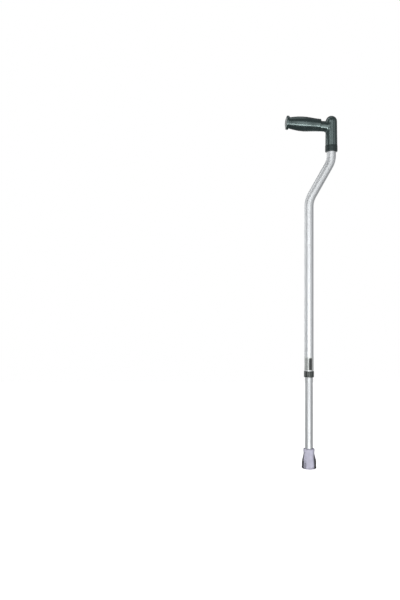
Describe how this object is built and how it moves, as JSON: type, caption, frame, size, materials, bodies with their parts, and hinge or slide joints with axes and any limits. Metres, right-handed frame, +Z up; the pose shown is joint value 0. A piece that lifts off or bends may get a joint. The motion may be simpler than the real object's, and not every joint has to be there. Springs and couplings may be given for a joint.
{
  "type": "single point cane",
  "caption": "Offset-handle walking cane: swan-neck aluminium shaft, contoured grip, telescoping leg with snap button, and a rubber ferrule.",
  "frame": {"origin": "centre of the ferrule's sole, on the floor, on the axis of the straight shaft", "axes": "+Z up along the straight shaft; the handle's free end points to -X; the row of height holes and the snap button face +Y"},
  "size_m": [0.1288, 0.0354, 0.866],
  "materials": {
    "upper_aluminium": "satin anodised",
    "housing_plastic": "smooth moulded, semi-gloss",
    "core_aluminium": "mill",
    "grip_vinyl": "soft moulded vinyl, glossy",
    "ring_plastic": "moulded, satin",
    "rivet_metal": "zinc plated",
    "collar_plastic": "moulded, glossy",
    "label_vinyl": "printed vinyl with a plain dark panel",
    "leg_aluminium": "satin anodised",
    "bush_nylon": "moulded nylon",
    "spring_steel": "blued spring steel",
    "button_metal": "nickel plated",
    "ferrule_rubber": "moulded, dull",
    "washer_steel": "zinc plated"
  },
  "bodies": {
    "shaft": {"upper_tube": "upper_aluminium", "handle_housing": "housing_plastic", "grip_core": "core_aluminium", "hand_grip": "grip_vinyl", "socket_ring": "ring_plastic", "handle_rivets": "rivet_metal", "guide_collar": "collar_plastic", "rating_label": "label_vinyl"},
    "leg": {"lower_tube": "leg_aluminium", "leg_bush": "bush_nylon", "button_spring": "spring_steel", "ferrule": "ferrule_rubber", "ferrule_washer": "washer_steel"},
    "button": {"snap_button": "button_metal"}
  },
  "joints": [
    {"name": "height_slide", "type": "slide", "parent": "leg", "child": "shaft", "axis": [0, 0, 1], "range_m": [-0.13335, 0.09525]},
    {"name": "button_press", "type": "slide", "parent": "leg", "child": "button", "axis": [0, -1, 0], "range_m": [0, 0.0042], "stiffness_N_per_m": 2500, "springref_m": -0.002, "deforming": ["button_spring"]}
  ]
}
